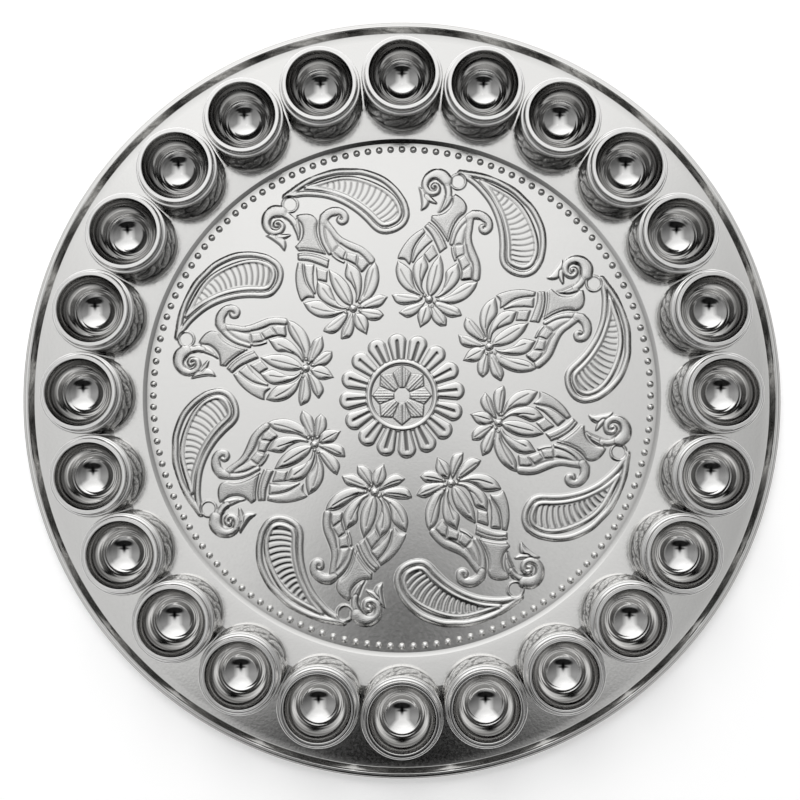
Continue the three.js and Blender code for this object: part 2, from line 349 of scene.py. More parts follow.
bodyShape = {
    "neckTop": [(0.3, 85.4), (2.5, 84.7), (4.4, 83.6), (5.8, 82), (6.2, 80), (5.8, 78.6)],
    "neckRight": [(5.8, 78.6), (4.2, 76.6), (3, 73.5), (2.5, 70), (2.5, 67.5), (2.4, 65.8)],
    "neckLow": [(2.4, 65.8), (1.4, 66.8), (-1, 69), (-4, 71.3), (-6.4, 72.6)],
    "neckLeft": [(-6.6, 74.6), (-5, 75.1), (-2.6, 76.2), (-0.6, 78.6), (0.3, 81.5), (-0.2, 84.2)],
    "feather": [(-3.2, 83), (-0.5, 84.4), (-1, 81), (-2.3, 78.5), (-4.5, 76.2), (-3.9, 78.5), (-3.6, 81)],
    "featherLine": [(-2.2, 83), (-2.4, 81), (-3, 78.5)],
    "beltTop": [(-7.2, 71.6), (-4, 70), (-0.5, 67), (2.4, 63.2)],
    "beltLow": [(0.3, 60.6), (-2, 63.6), (-5, 67), (-8.4, 69.4)],
    "beltLine": [(-7.6, 70.6), (-4.4, 69), (-1, 66), (1.8, 62.4)],
    "wingOuter": [(-9, 68.4), (-12, 65), (-14.4, 60.5), (-15.6, 56), (-15.7, 54)],
    "wingFoot": [(-15.4, 54.1), (-13, 54.3), (-10.6, 52.8)],
    "wingInner": [(-10.4, 54), (-10.8, 59), (-9.8, 63), (-7.8, 67.2)],
    "secondOuter": [(-7.2, 66.6), (-8.9, 63), (-9.9, 59), (-9.9, 54)],
    "secondInner": [(-9.2, 54), (-8.2, 57.5), (-6.3, 61), (-4, 64.4)],
    "plate": [(-5.8, 58.4), (-3, 55.8), (-0.6, 59.4), (-3.6, 62.8)],
    "plateLine": [(-3.9, 64.4), (-5, 62.8), (-6.4, 61)],
}


# wings, belt and neck, each a pad inside its outline, with grooves along their edges
def drawBody(relief, shape):
    wing = outlineOf(shape["wingOuter"], shape["wingFoot"], shape["wingInner"])
    pad(relief, wing, height=0.55, crown=0.15, rounding=1.6, stipple=0.8)
    second = outlineOf(shape["secondOuter"], shape["secondInner"])
    pad(relief, second, height=0.48, crown=0.15, rounding=1.2, stipple=0.5)
    pad(relief, np.array(shape["plate"], float), height=0.5, crown=0.1, rounding=1.0, stipple=0.8)
    groove(relief, flowing(shape["plateLine"]), halfWidth=0.22, depth=0.12)
    belt = outlineOf(shape["beltTop"], shape["beltLow"])
    pad(relief, belt, height=0.6, crown=0.1, rounding=1.0, stipple=0.8)
    groove(relief, flowing(shape["beltLine"]), halfWidth=0.22, depth=0.18)
    feather = flowing(shape["feather"], closed=True, steps=3)
    pad(relief, feather, height=0.5, crown=0.2, rounding=1.0, stipple=0.2)
    groove(relief, flowing(shape["featherLine"]), halfWidth=0.22, depth=0.15)
    neck = outlineOf(shape["neckTop"], shape["neckRight"], shape["neckLow"], shape["neckLeft"])
    pad(relief, neck, height=0.62, crown=0.12, rounding=2.0, stipple=1.0)
    groove(relief, flowing(shape["neckRight"]) + np.array([-0.75, 0.1]), halfWidth=0.2, depth=0.15, shade=0.6)
    groove(relief, flowing(shape["neckLow"]) + np.array([0.1, 0.85]), halfWidth=0.2, depth=0.15, shade=0.6)


tailShape = {
    "ground": [(10.4, 74), (10.5, 71.5), (11.2, 69), (12.6, 66.6), (14.8, 63.6), (16.8, 60.6),
               (18, 57), (18.4, 53.5), (15.6, 53.2), (11.4, 52), (10.8, 55.6), (8.4, 59.6),
               (6.4, 61.5), (4.4, 64.6), (3.4, 67), (3.8, 71), (5, 74.6), (7.4, 78)],
    "leftRail": [(4, 65.4, 0.7), (4.1, 68, 0.8), (4.3, 70.4, 0.85), (5.3, 73.7, 0.95),
                 (7.2, 77, 1.1), (9.5, 79.5, 1.4)],
    "curl": [(8.2, 77.9, 1.5), (10.2, 79.3, 1.7), (13, 79.6, 1.7), (15.8, 78.2, 1.6), (17, 75.8, 1.45),
             (16.2, 73.9, 1.25), (14.7, 73.8, 1.05), (14, 75.1, 0.8), (14.9, 76, 0.6)],
    "rightRail": [(8.8, 77.5, 1.3), (9.5, 73, 1.1), (9.8, 70, 1.15), (10.8, 67, 1.25), (12.6, 64, 1.35),
                  (15, 60.8, 1.4), (16.5, 57.4, 1.4), (17.1, 54, 1.25)],
    "leafLeft": [(5.3, 65.2), (5.1, 68), (5.6, 71), (6.8, 74), (8.8, 76.6)],
    "leafRight": [(8.5, 66.3), (8.3, 70), (8.4, 73.5), (8.8, 76.6)],
    "plates": [[(5.6, 64.6), (8.8, 65.9), (10, 62.5), (7.3, 60.4)],
               [(8.5, 59.6), (10.3, 61.8), (13.2, 59), (11, 56)],
               [(11.2, 55.3), (13.6, 58.2), (14.9, 56.4), (15.3, 53.6), (11.7, 52.2)]],
    "sideLine": [(4.7, 63.8, 0.35), (5.7, 61.4, 0.4), (7.1, 59.2, 0.35)],
    "railLine": [(9.9, 66.2), (11.1, 63.5), (12.9, 60.7), (14.4, 59.2), (15.2, 56.5), (15.7, 53.6)],
}


# low ground with raised rails, plates and a curl on it
def drawTail(relief, shape):
    ground = flowing(shape["ground"], closed=True, steps=4)
    pad(relief, ground, height=0.26, crown=0.0, rounding=1.0, stipple=0.3)
    ridge(relief, flowing(shape["leftRail"]), height=0.55, crown=0.15, stipple=0.6)
    leaf = np.vstack([flowing(shape["leafLeft"]), flowing(shape["leafRight"])[::-1]])
    pad(relief, leaf, height=0.5, crown=0.2, rounding=1.4, stipple=0.4)
    for plate in shape["plates"]:
        pad(relief, np.array(plate, float), height=0.5, crown=0.12, rounding=0.9, stipple=0.7)
    ridge(relief, flowing(shape["sideLine"]), height=0.42, crown=0.15)
    ridge(relief, flowing(shape["rightRail"]), height=0.58, crown=0.16, stipple=0.8)
    ridge(relief, flowing(shape["curl"]), height=0.62, crown=0.2, stipple=0.8)
    groove(relief, flowing(shape["railLine"]), halfWidth=0.24, depth=0.2, shade=0.8)


# each petal: one edge, the other edge, both from foot to tip, and its vein
lotusShape = {
    "outerLeft": [[(-2, 41.5), (-4.5, 41.7), (-9, 42.4), (-13, 45), (-15.2, 49), (-15.4, 52.9)],
                  [(-2, 41.5), (-5.5, 43.6), (-7.5, 46.5), (-9, 50), (-12, 51.9), (-15.4, 52.9)],
                  [(-13.5, 49.6), (-10, 45.9), (-6.5, 43.4)]],
    "outerRight": [[(4.2, 41.2), (5, 40.8), (9, 41), (13, 43), (16, 46), (17.8, 50), (18, 52.6)],
                   [(4.2, 41.2), (5, 42.6), (8, 44.5), (11.5, 49), (14.5, 51.6), (18, 52.6)],
                   [(16, 50.5), (12, 46.5), (7, 42.8)]],
    "middleLeft": [[(-1, 42.2), (-3.2, 43), (-6.5, 46.5), (-8.6, 51), (-8.2, 54.5), (-6, 57.8)],
                   [(-1, 42.2), (-3.2, 44.6), (-3.8, 47.4), (-3.4, 51), (-3.2, 54), (-6, 57.8)],
                   [(-5.8, 54), (-5.2, 49.5), (-4, 47.2)]],
    "middleRight": [[(3, 42.4), (4.8, 43), (8, 46.5), (10.2, 50.5), (10.4, 54), (8.3, 58.2)],
                    [(3, 42.4), (5, 45.4), (5.5, 50), (4.9, 54), (8.3, 58.2)],
                    [(7.4, 54), (6.4, 49.5), (5.6, 47)]],
    "centre": [[(0.8, 41.8), (-1.2, 45), (-2, 50), (-1.4, 55), (0.4, 59.4)],
               [(0.8, 41.8), (2.9, 45), (3.9, 50), (2.8, 55.4), (0.4, 59.4)],
               [(0.7, 43.6), (0.8, 49), (0.6, 55)]],
    "left": [[(-2, 40.4), (-4, 41), (-9, 40.7), (-12.4, 39.9), (-14.2, 38.8)],
             [(-2, 40.4), (-3.4, 38.7), (-5.5, 37.5), (-9, 36.2), (-12, 36.5), (-14.2, 38.8)],
             [(-12, 39), (-8, 39.3), (-4, 39.9)]],
    "right": [[(3, 40), (5, 40.8), (8, 40.8), (12.8, 40.3), (15.2, 37.8)],
              [(3, 40), (4.5, 38.5), (8, 36.8), (11.5, 36.2), (15.2, 37.8)],
              [(13.8, 38.2), (9, 38.9), (5.5, 39.2)]],
    "lowLeft": [[(-0.6, 39.4), (-2.2, 38.6), (-5, 37), (-7.6, 35.2), (-9.6, 32.5)],
                [(-0.6, 39.4), (-1.3, 37), (-3, 33.8), (-6, 31.6), (-9.6, 32.5)],
                [(-8, 33.4), (-4.5, 35.6), (-1.6, 38)]],
    "lowRight": [[(2.5, 39), (4, 38.5), (6.8, 37), (9.4, 35), (10.2, 32.3)],
                 [(2.5, 39), (2.5, 37), (4.3, 33.4), (7.5, 31.7), (10.2, 32.3)],
                 [(9, 32.9), (6, 35.4), (3.4, 37.8)]],
    "low": [[(0.8, 38.6), (-1.4, 36.4), (-1.9, 33), (0.2, 29)],
            [(0.8, 38.6), (3.2, 36), (3, 32.4), (0.2, 29)],
            [(0.6, 37), (0.5, 34), (0.4, 30.6)]],
}
lotusHeart = {"centre": (0.8, 40.8), "radius": 1.5, "height": 0.75, "dotRadius": 0.55,
              "dots": [(4.4, 41.5), (3.2, 40.2), (2.8, 38.3), (-2.6, 40.9), (-1.2, 41.9)]}


# petals laid over each other in the order of the list, then the round heart and its dots
def drawLotus(relief, petals, heart):
    for edges in petals.values():
        petal(relief, *edges)
    x, y = heart["centre"]
    pad(relief, arc((x, y), heart["radius"], 0, 360, 20)[:-1], heart["height"], 0.5, heart["radius"])
    for x, y in heart["dots"]:
        pad(relief, arc((x, y), heart["dotRadius"], 0, 360, 12)[:-1], height=0.62, crown=0.3, rounding=0.5)


# tray: shell with the wired rim, eight pressed figures, rosette and beads

traySheet = {
    "radius": 152.4, "height": 6.4, "thickness": 0.6, "beadRadius": 1.3, "borderEnd": 149.0,
    "wellRadius": 103.8, "innerEdge": 97.4, "stepRun": 1.7, "stepRise": 0.6,
    "slopeEnd": 117.5, "borderRise": 1.8,  # a step round the well, then a gentle slope up to the border
    "columns": 400, "stepRounding": 0.35, "slopeRounding": 1.5, "wallRounding": 0.7, "rollCorner": 0.4,
    "rollCrown": 0.1,
    # lines of painted shade: how dark, how far out or how high, and half their width
    "footLine": (0.55, 0.2, 0.45), "cornerLine": (0.5, 0.3, 0.5), "creaseLine": (0.85, 5.75, 0.2),
    # lowest height for the foot's line, and the heights between which the corner's line lies
    "footAbove": 0.5, "cornerBetween": (1.5, 4),
    # the wall has painted shade from one height, fully from the next, up to the last
    "wallShade": 0.15, "wallReach": 1.3, "wallHeights": (2.9, 3.4, 5.9),
}
figurePanel = {
    "count": 8, "firstAxis": 75.4, "innerRadius": 27.0, "rows": 221, "columns": 191,
    # degrees clockwise of the figure's axis where it meets the next one, at each radius
    "meetRadii": [0, 45, 56, 63, 69, 76, 86, 97, 120],
    "meetAngles": [23.3, 23.3, 25, 30.5, 33.3, 34, 32, 30, 30],
    "reverseShare": 0.85, "softenTimes": 2, "edgeFade": 1.2,
}


# middle line of the sheet from the well's edge over step, slope, border and wall into the roll,
# given its wall; the roll is an arc up, a barely crowned top and an arc round below
def shellLoop(sheet):
    centre = (sheet["radius"] - sheet["beadRadius"], sheet["height"] - sheet["beadRadius"])
    half = sheet["thickness"] / 2
    reach, corner = sheet["beadRadius"] - half, sheet["rollCorner"]
    across = np.linspace(corner - reach, reach - corner, 7)
    crown = centre[1] + reach - sheet["rollCrown"] * (across / reach) ** 2
    roll = np.vstack([
        arc((centre[0] - reach + corner, centre[1] + reach - corner), corner, 180, 96, 6),
        np.stack([centre[0] + across, crown], 1),
        arc((centre[0] + reach - corner, centre[1] + reach - corner), corner, 84, 0, 6),
        arc(centre, reach, -6, -90, 8)])
    base = rounded(
        [(sheet["innerEdge"], half), (sheet["wellRadius"], half),
         (sheet["wellRadius"] + sheet["stepRun"], half + sheet["stepRise"]),
         (sheet["slopeEnd"], half + sheet["borderRise"]),
         (sheet["borderEnd"] + half, half + sheet["borderRise"]), tuple(roll[0] - np.array([0, 0.2]))],
        [sheet["stepRounding"], sheet["stepRounding"], sheet["slopeRounding"], sheet["wallRounding"]])
    middle = np.vstack([divided(base, 3.0), roll])
    return wallLoop(middle, sheet["thickness"])


# the listed angles joined by straights and smoothed by a bell of 17 half millimetres
def meetAngle(panel, radius):
    knots = np.linspace(0, 120, 241)
    angles = np.interp(knots, panel["meetRadii"], panel["meetAngles"])
    kernel = np.hanning(17)
    angles = np.convolve(np.pad(angles, 8, mode="edge"), kernel / kernel.sum(), mode="valid")
    return np.interp(radius, knots, angles)


# grid of one figure's panel in radius and angle: from its meeting line to the next one
def bareFigure(panel, sheet):
    radius = np.linspace(panel["innerRadius"], sheet["innerEdge"], panel["rows"])[:, None]
    across = np.linspace(0, 1, panel["columns"])[None, :]
    clockwise = np.radians(meetAngle(panel, radius) - 360 / panel["count"] * across)
    return radius + 0 * across, clockwise


# all parts of one figure pressed into its grid, laid flat with y along its axis
def drawnFigure(radius, clockwise):
    points = np.stack([(radius * np.sin(clockwise)).ravel(), (radius * np.cos(clockwise)).ravel()], 1)
    relief = blankRelief(points)
    drawPaisley(relief, paisleyShape)
    drawBody(relief, bodyShape)
    drawTail(relief, tailShape)
    drawHead(relief, headShape)
    drawLotus(relief, lotusShape, lotusHeart)
    return relief


# the strip between an edge of the upper grid and the matching edge of the lower one, which has
# half as many points; both run the same way
def edgeStrip(upper, lower, flip=False):
    a, b, c = upper[:-1:2], upper[1::2], upper[2::2]
    low, lowNext = lower[:-1], lower[1:]
    faces = np.vstack([np.stack(corners, 1) for corners in ((low, b, a), (low, lowNext, b), (lowNext, c, b))])
    return faces[:, ::-1] if flip else faces


# mean of each point with its neighbours in a grid, repeated
def softened(grid, times):
    for _ in range(times):
        wide = np.pad(grid, 1, mode="edge")
        grid = (4 * grid + 2 * (wide[:-2, 1:-1] + wide[2:, 1:-1] + wide[1:-1, :-2] + wide[1:-1, 2:])
                + wide[:-2, :-2] + wide[:-2, 2:] + wide[2:, :-2] + wide[2:, 2:]) / 16
    return grid


# top = sheet + relief, underside = the relief softened and a little lower; eight turned copies
def makePanels(panel, sheet, material):
    radius, clockwise = bareFigure(panel, sheet)
    relief = drawnFigure(radius, clockwise)
    shape = radius.shape
    height = relief["height"].reshape(shape)
    fromEdge = np.minimum(clockwise - clockwise[:, -1:], clockwise[:, :1] - clockwise) * radius
    rim = eased(fromEdge, 0.0, panel["edgeFade"])
    height = height * rim
    reverse = softened(np.maximum(height, 0), panel["softenTimes"])[::2, ::2] * panel["reverseShare"]
    reverse *= rim[::2, ::2]
    upper = np.arange(height.size).reshape(shape)
    lower = height.size + np.arange(reverse.size).reshape(reverse.shape)
    faces = [gridCells(*shape, wrap=False),
             gridCells(*reverse.shape, wrap=False, first=height.size)[:, ::-1]]
    strips = [edgeStrip(upper[0], lower[0]), edgeStrip(upper[-1], lower[-1], True),
              edgeStrip(upper[:, 0], lower[:, 0], True), edgeStrip(upper[:, -1], lower[:, -1])]
    # the painted shade and the stipple also go on the underside, at 0.3 of their strength
    marks = {label: np.concatenate([relief[label], relief[label].reshape(shape)[::2, ::2].ravel() * 0.3])
             for label in ("stipple", "shade")}
    for k in range(panel["count"]):
        azimuth = np.radians(panel["firstAxis"] - 360 / panel["count"] * k) - clockwise
        x, y = radius * np.cos(azimuth), radius * np.sin(azimuth)
        top = np.stack([x, y, sheet["thickness"] + height], -1).reshape(-1, 3)
        bottom = np.stack([x[::2, ::2], y[::2, ::2], reverse], -1).reshape(-1, 3)
        makePiece(f"peacockPanel_{k + 1}", np.vstack([top, bottom]), faces + strips,
                  material, "tray", ["tray"], marks)


rosetteShape = {
    "radius": 27.0, "rows": 89, "columns": 400, "petals": 16, "tip": 25.3, "ring": 14.7, "ringInner": 12.6,
    "petalTurn": -6.05, "petalHeight": 0.62, "petalRoot": 13.2, "tipHalf": 3.55, "rootHalf": 1.95,
    "slotFrom": 14.6, "slotShort": 3.1, "starPoints": 8, "starReach": 12.0, "hub": 3.3, "reverseShare": 0.85,
    "starNotch": 0.13, "starRise": 0.5, "starFall": 0.22, "crestRise": 0.16, "valleyDepth": 0.2,
    "fluteRise": 0.07, "flutePitch": 1.1, "starStipple": 0.9, "starEdgeShade": 0.7, "valleyShade": 0.75,
}


# sixteen petals on rays from the middle, a ring, and a star whose edge lies at
# reach * cos(step) / cos(step - fold) * (1 - notch * fold / step), where fold is the angle from
# the star's nearest point and step is half the angle between two points
def drawRosette(relief, rose):
    # long round-ended petals, each a raised loop round a sunken slot
    for k in range(rose["petals"]):
        turn = math.radians(rose["petalTurn"] + 360 / rose["petals"] * (k + 0.5))
        along, aside = np.array([math.cos(turn), math.sin(turn)]), np.array([-math.sin(turn), math.cos(turn)])
        root, tipHalf, rootHalf = rose["petalRoot"], rose["tipHalf"], rose["rootHalf"]
        end = arc((rose["tip"] - tipHalf, 0), tipHalf, -84, 84, 15)
        profile = np.vstack([[(root, -rootHalf)], end, [(root, rootHalf)]])
        pad(relief, profile[:, :1] * along + profile[:, 1:] * aside, rose["petalHeight"],
            crown=0.26, rounding=1.3, flank=0.25, stipple=0.15)
        slot = np.linspace(rose["slotFrom"] * along, (rose["tip"] - rose["slotShort"]) * along, 8)
        groove(relief, slot, halfWidth=0.5, depth=0.4, shade=0.85)
    ring = (rose["ring"] + rose["ringInner"]) / 2
    field = arc((0, 0), ring, 0, 360, 64)
    pad(relief, field[:-1], height=0.1, crown=0.0, rounding=1.0, flank=0.3, stipple=0.5)
    # star of eight kites that meet in a hub, each with a crest down its middle
    points = relief["points"]
    radius, azimuth = np.hypot(*points.T), np.arctan2(points[:, 1], points[:, 0])
    step = np.pi / rose["starPoints"]
    fold = np.abs((azimuth + step) % (2 * step) - step)  # 0 on a point of the star, step between two
    edge = rose["starReach"] * math.cos(step) / np.cos(step - fold) * (1 - rose["starNotch"] * fold / step)
    depth = edge - radius
    star = eased(depth, -0.2, 0.3) * (radius > 0)
    facet = rose["starRise"] - rose["starFall"] * fold / step
    for label, value in (("height", star * facet), ("stipple", star * rose["starStipple"])):
        relief[label] = np.where(radius < ring, np.maximum(relief[label], value), relief[label])
    # painted shade along the star's edge and in the valleys between its kites
    inField = radius < ring - 0.5
    lineShade = np.exp(-((depth + 0.1) / 0.3) ** 2) * inField
    crease = np.exp(-((radius * fold) / 0.22) ** 2) * eased(radius, 3, 4) * (depth > 0)
    valley = np.exp(-((radius * (step - fold)) / 0.3) ** 2) * eased(radius, 3, 4) * (depth > 0)
    wave = 0.5 + 0.5 * np.cos(radius * fold * 2 * np.pi / rose["flutePitch"])
    fluting = wave * star * eased(radius, 3.4, 4.6)
    rise = rose["crestRise"] * crease - rose["valleyDepth"] * valley
    relief["height"] += rise + rose["fluteRise"] * fluting
    lines = np.maximum(rose["starEdgeShade"] * lineShade, rose["valleyShade"] * valley)
    relief["shade"] = np.maximum(relief["shade"], lines)
    halfWidth = (rose["ring"] - rose["ringInner"]) / 2
    ridge(relief, arc((0, 0), ring, 0, 360, 96), halfWidth, height=0.7, crown=0.3)
    hub = arc((0, 0), rose["hub"], 0, 360, 40)[:-1]
    pad(relief, hub, height=0.3, crown=0.05, rounding=0.6, flank=0.25)


# round grid of rings about one middle point, with an underside at half as many points
def makeRosette(rose, sheet, material):
    ringRadii = rose["radius"] * np.linspace(0, 1, rose["rows"] + 1)[1:]
    angle = np.linspace(0, 2 * np.pi, rose["columns"], endpoint=False)
    radius, azimuth = np.meshgrid(ringRadii, angle, indexing="ij")
    flat = np.stack([radius * np.cos(azimuth), radius * np.sin(azimuth)], -1)
    relief = blankRelief(np.vstack([flat.reshape(-1, 2), [[1e-4, 1e-4]]]))
    drawRosette(relief, rose)
    top = relief["height"][:-1].reshape(radius.shape)
    rows, columns = radius.shape
    wrapped = np.concatenate([top[:, -4:], top, top[:, :4]], 1)
    reverse = np.maximum(softened(wrapped, 2)[:, 4:-4], 0) * rose["reverseShare"]
    reverse[-1] = 0
    lowRow, lowColumn = np.arange(0, rows, 2), np.arange(0, columns, 2)
    lowFlat = flat[np.ix_(lowRow, lowColumn)]
    lowHeight = reverse[np.ix_(lowRow, lowColumn)]
    upper = np.concatenate([flat, sheet["thickness"] + top[..., None]], -1).reshape(-1, 3)
    lower = np.concatenate([lowFlat, lowHeight[..., None]], -1).reshape(-1, 3)
    middle = relief["height"][-1]
    poles = [[0, 0, sheet["thickness"] + middle], [0, 0, rose["reverseShare"] * middle]]
    points = np.vstack([upper, lower, poles])
    count, half = len(upper), len(lowColumn)
    topPole, lowPole = len(points) - 2, len(points) - 1
    ring, lowRing = np.arange(columns), count + np.arange(half)
    upperEdge = (rows - 1) * columns + np.append(ring, 0)
    lowerEdge = count + (len(lowRow) - 1) * half + np.append(np.arange(half), 0)
    faces = [gridCells(rows, columns)[:, ::-1], gridCells(len(lowRow), half, first=count),
             np.vstack([np.stack([ring, np.roll(ring, -1), np.full(columns, topPole)], 1),
                        np.stack([np.roll(lowRing, -1), lowRing, np.full(half, lowPole)], 1),
                        edgeStrip(upperEdge, lowerEdge, True)])]
    marks = {label: np.concatenate([relief[label][:-1], np.zeros(len(lower)), [relief[label][-1], 0]])
             for label in ("stipple", "shade")}
    makePiece("rosette", points, faces, material, "tray", ["tray"], marks)


beadRow = {
    "radius": 101.2, "count": 136, "beadRadius": 1.38, "height": 1.1, "sides": 16,
    # from the middle of the underside out and up: shares of the bead's radius and height, and the painted
    # shade, darkest at the foot
    "share": [0.0, 1.08, 1.04, 0.97, 0.84, 0.62, 0.32],
    "lift": [-0.4, -0.4, 0.03, 0.34, 0.66, 0.88, 0.98],
    "shade": [0.85, 0.4, 0.0, 0.0, 0.0, 0.0],
}


# every bead is a low dome with a small flare at its foot, closed under the sheet's surface
def makeBeads(bead, sheet, material):
    share, lift = np.array(bead["share"]), np.array(bead["lift"])
    side = np.linspace(0, 2 * np.pi, bead["sides"], endpoint=False)
    out = share[1:, None] * bead["beadRadius"]
    up = (lift[1:] * bead["height"])[:, None]
    rings = np.stack([out * np.cos(side), out * np.sin(side), up + 0 * side], -1).reshape(-1, 3)
    one = np.vstack([rings, [[0, 0, lift[0] * bead["height"]], [0, 0, bead["height"]]]])
    sides, rows = bead["sides"], len(share) - 1
    quads = gridCells(rows, sides)
    fans = endFans(rows, sides)
    turn = np.linspace(0, 2 * np.pi, bead["count"], endpoint=False)[:, None]
    radial = bead["radius"] + one[None, :, 0]
    x = radial * np.cos(turn) - one[None, :, 1] * np.sin(turn)
    y = radial * np.sin(turn) + one[None, :, 1] * np.cos(turn)
    z = sheet["thickness"] + one[None, :, 2] + 0 * turn
    offset = (np.arange(bead["count"]) * len(one))[:, None, None]
    # painted shade round the foot of each bead
    shade = np.append(np.repeat(bead["shade"], sides), [0, 0])
    marks = {"shade": np.tile(shade, bead["count"]), "stipple": np.zeros(bead["count"] * len(one))}
    makePiece("beadRow", np.stack([x, y, z], -1).reshape(-1, 3),
              [(quads[None] + offset).reshape(-1, 4), (fans[None] + offset).reshape(-1, 3)],
              material, "tray", ["tray"], marks)


# the sheet's loop carried round, with painted shade: lines at the well's foot, the border's corner and under
# the roll that fade as exp(-(distance / half width)^2), and a darker wall
def makeShell(sheet, material):
    loop = shellLoop(sheet)
    points = ringPoints(loop, sheet["columns"])
    radius, height = loop.T
    onWall = radius < sheet["borderEnd"] + sheet["wallReach"]
    level, out, half = sheet["footLine"]
    foot = level * np.exp(-((radius - sheet["wellRadius"] - out) / half) ** 2) * (height > sheet["footAbove"])
    level, out, half = sheet["cornerLine"]
    corner = level * np.exp(-((radius - sheet["borderEnd"] - out) / half) ** 2)
    low, high = sheet["cornerBetween"]
    corner = corner * (height < high) * (height > low)
    level, up, half = sheet["creaseLine"]
    crease = level * np.exp(-((height - up) / half) ** 2) * onWall * (radius > sheet["borderEnd"])
    low, full, high = sheet["wallHeights"]
    wall = sheet["wallShade"] * eased(height, low, full) * onWall * (height < high)
    shade = np.repeat(np.maximum(foot + corner, np.maximum(crease, wall))[:, None], sheet["columns"], 1)
    makePiece("trayShell", points.reshape(-1, 3), [loopCells(len(loop), sheet["columns"])],
              material, "tray", ["tray"], {"shade": shade, "stipple": 0 * shade})


rimWire = {"ring": 151.1, "height": 5.1, "radius": 0.4, "columns": 240, "sides": 16}


# a round section carried round inside the rolled edge
def makeWire(wire, material):
    section = arc((wire["ring"], wire["height"]), wire["radius"], 0, 360, wire["sides"] + 1)[:-1]
    makePiece("rimWire", ringPoints(section, wire["columns"]).reshape(-1, 3),
              [loopCells(wire["sides"], wire["columns"])], material, "tray", ["rim_wire"])


# finishes

# a material with one principled shader, handed back with its node tree
def newMaterial(name):
    material = bpy.data.materials.new(name)
    material.use_nodes = True
    tree = material.node_tree
    tree.nodes.clear()
    output = tree.nodes.new("ShaderNodeOutputMaterial")
    shader = tree.nodes.new("ShaderNodeBsdfPrincipled")
    tree.links.new(shader.outputs[0], output.inputs[0])
    return material, tree, shader


# cloudy grey between 0 and 1 at the given place, finer with a larger scale
def noiseNode(tree, place, scale, detail=3.0, roughness=0.55):
    noise = tree.nodes.new("ShaderNodeTexNoise")
    for label, number in (("Scale", scale), ("Detail", detail), ("Roughness", roughness)):
        noise.inputs[label].default_value = number
    tree.links.new(place, noise.inputs["Vector"])
    return noise.outputs["Fac"]


# value carried from between fromLow and fromHigh to between low and high, held at both ends,
# along a straight line or a smooth step
def ranged(tree, value, low, high, fromLow=0.0, fromHigh=1.0, curve="LINEAR"):
    node = tree.nodes.new("ShaderNodeMapRange")
    node.interpolation_type = curve
    for index, number in enumerate((fromLow, fromHigh, low, high), 1):
        node.inputs[index].default_value = number
    tree.links.new(value, node.inputs[0])
    return node.outputs[0]


# one sum on numbers or node outputs, such as ADD or MAXIMUM
def combined(tree, operation, a, b=0.0):
    node = tree.nodes.new("ShaderNodeMath")
    node.operation = operation
    for index, value in enumerate((a, b)):
        if isinstance(value, (int, float)):
            node.inputs[index].default_value = value
        else:
            tree.links.new(value, node.inputs[index])
    return node.outputs[0]


# square root of a^2 + b^2
def hypotenuse(tree, a, b):
    squares = combined(tree, "ADD", combined(tree, "MULTIPLY", a, a), combined(tree, "MULTIPLY", b, b))
    return combined(tree, "SQRT", squares)


# value held between a least and a most
def held(tree, value, least, most):
    return combined(tree, "MINIMUM", combined(tree, "MAXIMUM", value, least), most)


# first * (1 - share) + second * share
def faded(tree, share, first, second):
    rest = combined(tree, "MULTIPLY", first, combined(tree, "SUBTRACT", 1.0, share))
    return combined(tree, "ADD", rest, combined(tree, "MULTIPLY", second, share))


# reads a value that makePiece stored at each point
def markNode(tree, label):
    node = tree.nodes.new("ShaderNodeAttribute")
    node.attribute_name = label
    return node


# surface tilted by the slope of a height, with distance metres for a height of 1
def bumped(tree, height, strength, distance, normal=None):
    node = tree.nodes.new("ShaderNodeBump")
    node.inputs["Strength"].default_value = strength
    node.inputs["Distance"].default_value = distance
    tree.links.new(height, node.inputs["Height"])
    if normal is not None:
        tree.links.new(normal, node.inputs["Normal"])
    return node.outputs[0]


# colour first * (1 - share) + second * share
def blended(tree, share, first, second):
    node = tree.nodes.new("ShaderNodeMix")
    node.data_type = "RGBA"
    tree.links.new(share, node.inputs[0])
    for index, value in ((6, first), (7, second)):
        if isinstance(value, tuple):
            node.inputs[index].default_value = (*value, 1)
        else:
            tree.links.new(value, node.inputs[index])
    return node.outputs[2]


# bumps are a strength and a depth in metres
sheetSilver = {
    # the dark colour serves both the painted shade and the dark pits of the stipple
    "bright": (0.88, 0.875, 0.86), "cloudy": (0.85, 0.845, 0.83), "tarnishAndPaintedShade": (0.10, 0.098, 0.094),
    "cloudScale": 55, "stippleScale": 2600, "grainScale": 900, "grainFrom": 0.3, "grainTo": 0.7,
    "roughLow": 0.10, "roughHigh": 0.15, "stippleRough": 0.05,
    "pitShade": 0.2, "pitsFrom": 0.3, "pitsTo": 0.62, "grainBump": (0.05, 0.0002), "pitBump": (0.35, 0.0003),
    "turnUpFrom": 0.086, "turnUpTo": 0.1038, "turnUp": 0.4,
}
